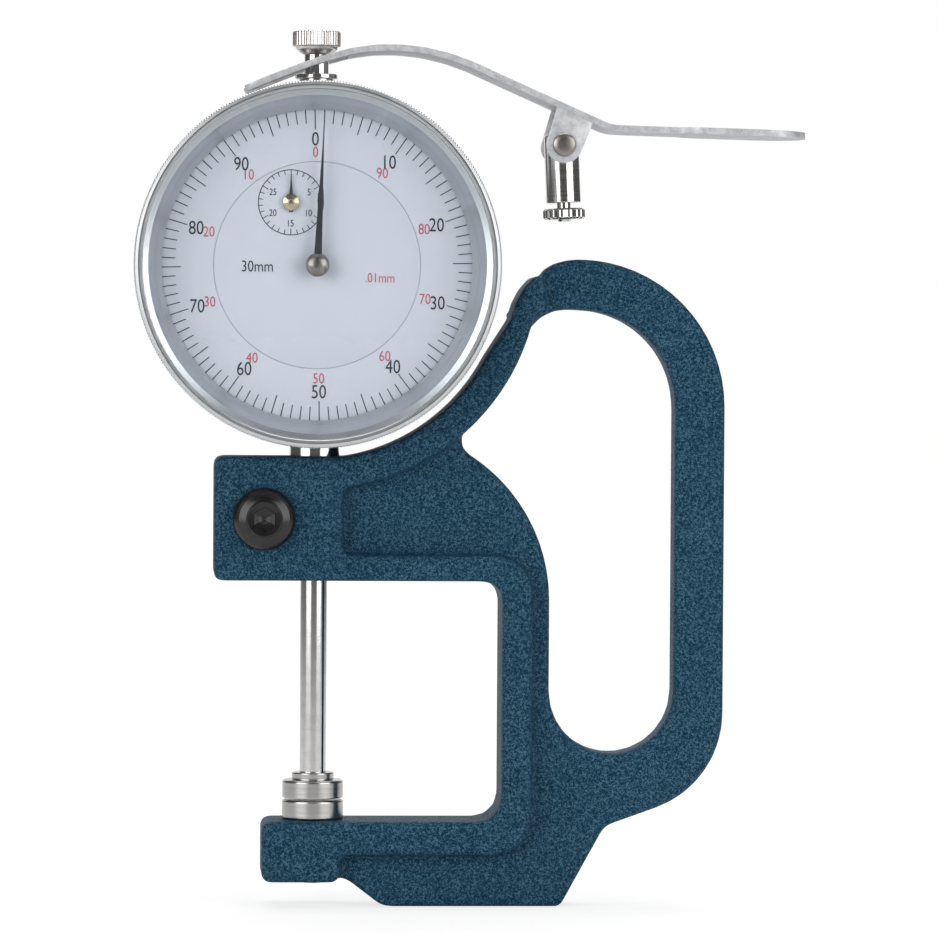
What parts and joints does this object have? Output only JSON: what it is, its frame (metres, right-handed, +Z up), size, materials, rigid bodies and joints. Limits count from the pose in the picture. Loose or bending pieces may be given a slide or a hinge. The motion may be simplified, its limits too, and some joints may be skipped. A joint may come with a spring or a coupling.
{
  "type": "dial thickness gauge",
  "caption": "Hand-held dial thickness gauge: a C-shaped frame with a handle loop, flat anvil and contact, a dial with revolution counter, and a lifting lever.",
  "frame": {"origin": "on the flat underside of the foot, in the middle plane of the frame, below the throat's inner wall", "axes": "+Z up along the spindle, towards the lifting knob; -Y towards the dial's face; +X from the spindle towards the handle"},
  "size_m": [0.108, 0.0268, 0.1406],
  "materials": {
    "paint": "blue hammered enamel",
    "black_oxide": "blackened",
    "steel": "ground",
    "chrome": "polished",
    "satin_alloy": "satin",
    "bezel_grey": "satin grey",
    "dial_white": "matt white print",
    "brass": "bright",
    "crystal": "clear",
    "hand_black": "black"
  },
  "bodies": {
    "frame": {"frame": "paint", "clamp_screw": "black_oxide", "anvil": "steel", "case_body": "satin_alloy", "stem": "steel", "top_bush": "steel", "back_cover": "satin_alloy", "cover_screw_1": "steel", "cover_screw_2": "steel", "cover_screw_3": "steel", "cover_screw_4": "steel", "dial_centre": "dial_white", "guide_rail": "steel", "return_spring": "steel", "spring_post": "steel", "main_plate": "brass", "movement_bridge": "brass", "plate_pillar_1": "brass", "plate_pillar_2": "brass", "plate_pillar_3": "brass", "plate_pillar_4": "brass", "hairspring": "steel", "lever_post": "chrome", "pivot_pin": "chrome"},
    "bezel": {"bezel": "bezel_grey", "crystal": "crystal", "dial_ring": "dial_white"},
    "spindle": {"spindle": "steel", "contact": "steel", "lift_knob": "chrome", "guide_pin": "steel"},
    "pointer": {"centre_pinion": "steel", "pointer": "hand_black", "pointer_hub": "steel"},
    "gear_arbor": {"rack_pinion": "steel", "main_gear": "brass"},
    "counter": {"counter_arbor": "steel", "counter_wheel": "brass", "counter_hand": "hand_black", "counter_hub": "brass"},
    "take_up": {"take_up_wheel": "brass", "take_up_arbor": "steel"},
    "lever": {"lever": "satin_alloy"},
    "post_screw": {"post_screw": "chrome"}
  },
  "joints": [
    {"name": "spindle_slide", "type": "slide", "parent": "frame", "child": "spindle", "axis": [0, 0, 1], "range_m": [0, 0.03], "stiffness_N_per_m": 10, "springref_m": -0.1, "deforming": ["return_spring"]},
    {"name": "gear_turn", "type": "hinge", "parent": "frame", "child": "gear_arbor", "pos_m": [-0.02759, 0, 0.10843], "axis": [0, 1, 0], "range_deg": [-1080, 0]},
    {"name": "pointer_turn", "type": "hinge", "parent": "frame", "child": "pointer", "pos_m": [-0.0245, 0, 0.1026], "axis": [0, 1, 0], "range_deg": [0, 10800]},
    {"name": "counter_turn", "type": "hinge", "parent": "frame", "child": "counter", "pos_m": [-0.0287, 0, 0.1125], "axis": [0, 1, 0], "range_deg": [0, 360]},
    {"name": "take_up_turn", "type": "hinge", "parent": "frame", "child": "take_up", "pos_m": [-0.02044, 0, 0.0974], "axis": [0, 1, 0], "range_deg": [-1080, 0]},
    {"name": "lever_tilt", "type": "hinge", "parent": "frame", "child": "lever", "pos_m": [0.015, 0, 0.1222], "axis": [0, 1, 0], "range_deg": [0, 28]},
    {"name": "bezel_turn", "type": "hinge", "parent": "frame", "child": "bezel", "pos_m": [-0.0245, 0, 0.1026], "axis": [0, 1, 0], "continuous": true},
    {"name": "post_screw_turn", "type": "hinge", "parent": "frame", "child": "post_screw", "pos_m": [0.015, 0, 0.1222], "axis": [-0.0436, 0, 0.999], "continuous": true}
  ],
  "couplings": [
    {"joint": "gear_turn", "follows": "spindle_slide", "rad_per_m": -628.32},
    {"joint": "pointer_turn", "follows": "spindle_slide", "rad_per_m": 6283.2},
    {"joint": "counter_turn", "follows": "spindle_slide", "rad_per_m": 209.44},
    {"joint": "take_up_turn", "follows": "spindle_slide", "rad_per_m": -628.32},
    {"joint": "lever_tilt", "follows": "spindle_slide", "rad_per_m": 16.25}
  ]
}
